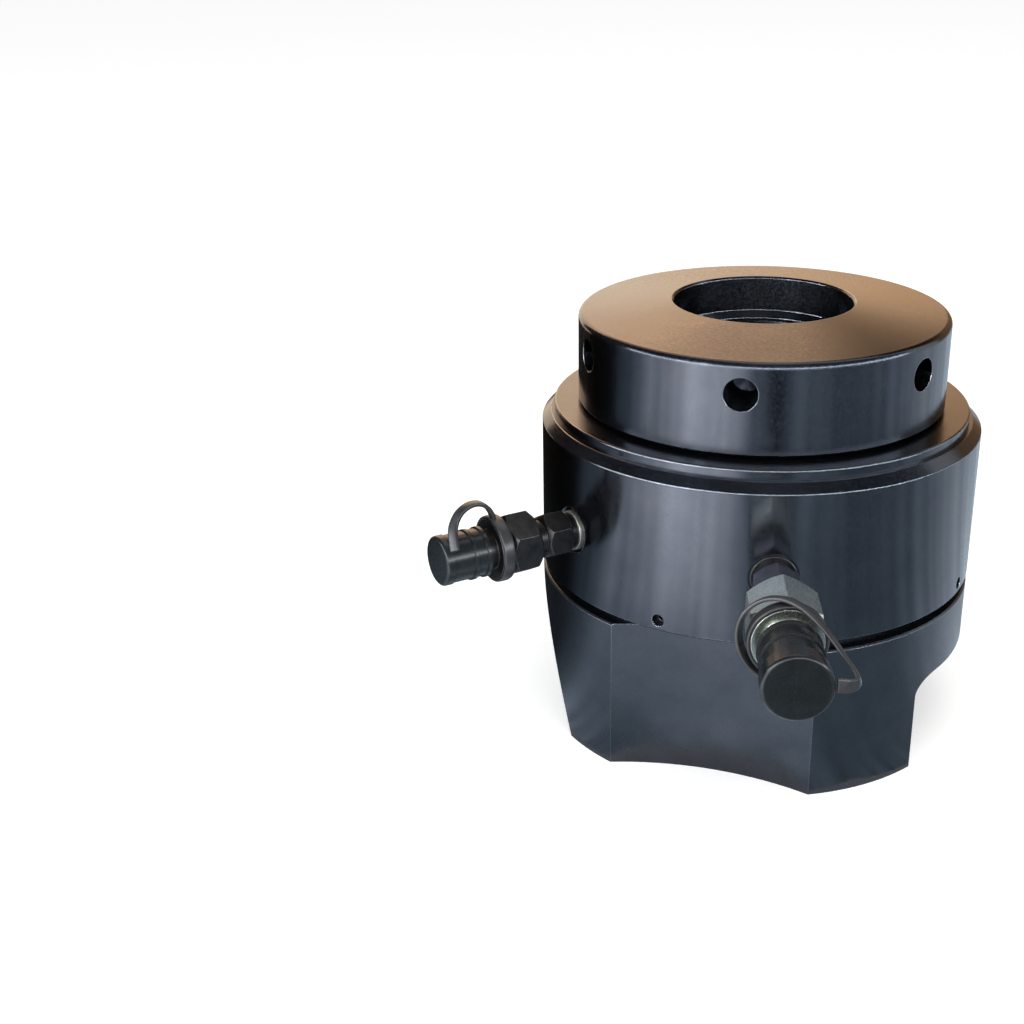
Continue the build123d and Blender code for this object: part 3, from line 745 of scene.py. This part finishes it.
# %% [markdown]
# ## The two ports
#
# Each coupling lies along its own port axis, so its pieces are drawn in that port's own
# directions: along the axis from the spot face, across to the right, and up. One function turns
# such points into places on the tool.

# %% Port frame
spot_face_r = 106.8
port_height = 115.2
port_angles = {"left": -136.7, "front": -78.4}


def port_places(side, points):
    """(along, across, up) in millimetres to the object's frame in metres, for whole arrays."""
    angle = radians(port_angles[side])
    along = np.array([cos(angle), sin(angle), 0.0])
    across = np.array([-sin(angle), cos(angle), 0.0])
    up = np.array([0.0, 0.0, 1.0])
    origin = spot_face_r * along + port_height * up
    points = np.asarray(points, float)
    return (origin + points[..., :1] * along + points[..., 1:2] * across + points[..., 2:] * up) * MM


print("left port at", port_places("left", [0, 0, 0]).round(4))

# %% Poppet springs
poppet_spans = {"left": (37.8, 60.6), "front": (66.8, 89.6)}
for side, (low, high) in poppet_spans.items():
    coil = coil_points(high - low, coil_r=3.0, wire_r=0.4, turns=9.0)
    turned = np.stack([coil[..., 2] + low, coil[..., 0], coil[..., 1]], axis=-1)
    piece = grid_piece(side + "_poppet_coil", port_places(side, turned), close_columns=True)
    piece.data.materials.append(spring_steel)
    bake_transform(piece)
    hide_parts(side + "_poppet_spring")
    print(piece.name, "length", round(high - low, 1), "mm")

# %% [markdown]
# ## The cap straps
#
# A rubber strap keeps each dust cap with its coupling. It is one moulding: a ring round the
# coupling's collar and a flat band that bends over to the end of the cap. The band is a rounded
# rectangle carried along a smooth curve, turned so that its flat side faces away from the
# coupling.

# %% Curve and band
# A power of 1 would make the section of a band or ring an ellipse, and 0 a rectangle.
band_power = 0.4
ring_power = 0.5
ring_section_steps = 16


def rounded_side(wave, power, size):
    """One side of a rounded rectangle from a cosine or sine, drawn out towards the corners."""
    return np.sign(wave) * np.abs(wave) ** power * size / 2


def smooth_path(points, steps=10):
    """A curve through all the points: between each two it is the cubic whose slope at a point is
    half the step from the point before to the point after."""
    points = np.asarray(points, float)
    padded = np.concatenate([2 * points[:1] - points[1:2], points, 2 * points[-1:] - points[-2:-1]])
    p0, p1, p2, p3 = (padded[i:len(padded) - 3 + i][:, None, :] for i in range(4))
    t = np.linspace(0.0, 1.0, steps, endpoint=False)[None, :, None]
    curve = 0.5 * (2 * p1 + (p2 - p0) * t + (2 * p0 - 5 * p1 + 4 * p2 - p3) * t ** 2
                   + (3 * p1 - p0 - 3 * p2 + p3) * t ** 3)
    return np.concatenate([curve.reshape(-1, points.shape[1]), points[-1:]])


def band_points(path, facing, width, thickness, steps=20):
    """A flat band along a path, closed at both ends. Its section is a rounded rectangle, whose two
    sides follow the cosine and the sine of the angle round it."""
    tangent = np.gradient(path, axis=0)
    tangent /= np.linalg.norm(tangent, axis=1, keepdims=True)
    side = np.cross(tangent, facing)
    side /= np.linalg.norm(side, axis=1, keepdims=True)
    face = np.cross(side, tangent)
    around = np.linspace(0.0, 2.0 * np.pi, steps, endpoint=False)
    flat = rounded_side(np.cos(around), band_power, width)
    thick = rounded_side(np.sin(around), band_power, thickness)
    rows = path[:, None, :] + flat[None, :, None] * side[:, None, :] + thick[None, :, None] * face[:, None, :]
    first = np.repeat(path[:1, None, :], steps, axis=1)
    last = np.repeat(path[-1:, None, :], steps, axis=1)
    return np.concatenate([first, rows, last], axis=0)


def outward_from(path, middle):
    """The direction at each point of a path away from a middle point."""
    away = path - np.array(middle)
    return away / np.linalg.norm(away, axis=1, keepdims=True)


def collar_ring(along, inner, outer, width, steps=72):
    """A ring round the port axis with a rounded section: the row is the angle round the axis."""
    around = np.linspace(0.0, 2.0 * np.pi, steps, endpoint=False)[:, None]
    section = np.linspace(0.0, 2.0 * np.pi, ring_section_steps, endpoint=False)[None, :]
    radial = rounded_side(np.cos(section), ring_power, outer - inner)
    axial = rounded_side(np.sin(section), ring_power, width)
    radius = (inner + outer) / 2 + radial
    place = along + axial + 0 * around
    return np.stack([place, radius * np.cos(around), radius * np.sin(around)], axis=-1)


print("band helpers ready")

# %% Left strap
# Each point is (along, across, up) from the middle of the port's spot face, in millimetres.
strap_thickness = 2.0
ring_width = 5.6
left_bend_middle = (56.0, 0.0, 8.0)
left_route = [(43.5, 0, 15.3), (44.6, 0, 18.5), (47.0, 0, 22.0), (51.0, 0, 24.4), (56.0, 0, 24.4),
              (61.0, 0.5, 21.9), (64.4, 1.8, 18.0), (66.4, 4.2, 14.6), (67.6, 7.6, 11.0), (68.4, 10.2, 8.0)]
left_path = smooth_path(left_route)
left_facing = outward_from(left_path, left_bend_middle)
left_points = band_points(left_path, left_facing, width=5.0, thickness=strap_thickness)
left_band = grid_piece("left_strap_band", port_places("left", left_points), close_columns=True)
left_collar = collar_ring(along=42.6, inner=14.45, outer=16.0, width=ring_width)
left_ring = grid_piece("left_strap_ring", port_places("left", left_collar),
                       close_rows=True, close_columns=True)
print("left strap:", len(left_band.data.polygons), "faces")

# %% Front strap
# The band faces mostly away from the axis, so its facing keeps only a share of the way along it.
front_bend_middle = (80.0, 0.0, 0.0)
along_share = 0.4
front_route = [(61.0, 5.0, -16.4), (61.0, -3.0, -17.0), (60.5, -9.5, -15.6), (59.5, -15.0, -11.5),
               (58.5, -18.6, -5.5), (57.5, -19.8, 1.5), (57.0, -18.6, 8.0), (57.0, -14.6, 13.6),
               (58.0, -8.5, 17.4), (61.0, -1.5, 18.6), (66.5, 5.0, 17.6), (73.5, 10.5, 14.8),
               (81.0, 15.0, 11.6), (88.5, 19.0, 7.8), (94.5, 22.4, 4.4), (98.0, 23.6, 1.8),
               (99.5, 20.6, 0.8), (99.5, 15.4, 0.8)]
front_path = smooth_path(front_route)
front_facing = outward_from(front_path, front_bend_middle) * np.array([along_share, 1.0, 1.0])
front_points = band_points(front_path, front_facing, width=6.0, thickness=strap_thickness)
front_band = grid_piece("front_strap_band", port_places("front", front_points), close_columns=True)
front_collar = collar_ring(along=61.1, inner=15.25, outer=17.0, width=ring_width)
front_ring = grid_piece("front_strap_ring", port_places("front", front_collar),
                        close_rows=True, close_columns=True)
print("front strap:", len(front_band.data.polygons), "faces")

# %% Strap material, rings on the load cell, bands baked in place
for side, band, ring in (("left", left_band, left_ring), ("front", front_band, front_ring)):
    for piece in (band, ring):
        piece.data.materials.append(strap_black)
    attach(ring, "load_cell")
    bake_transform(band)
    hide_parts(side + "_cap_strap")
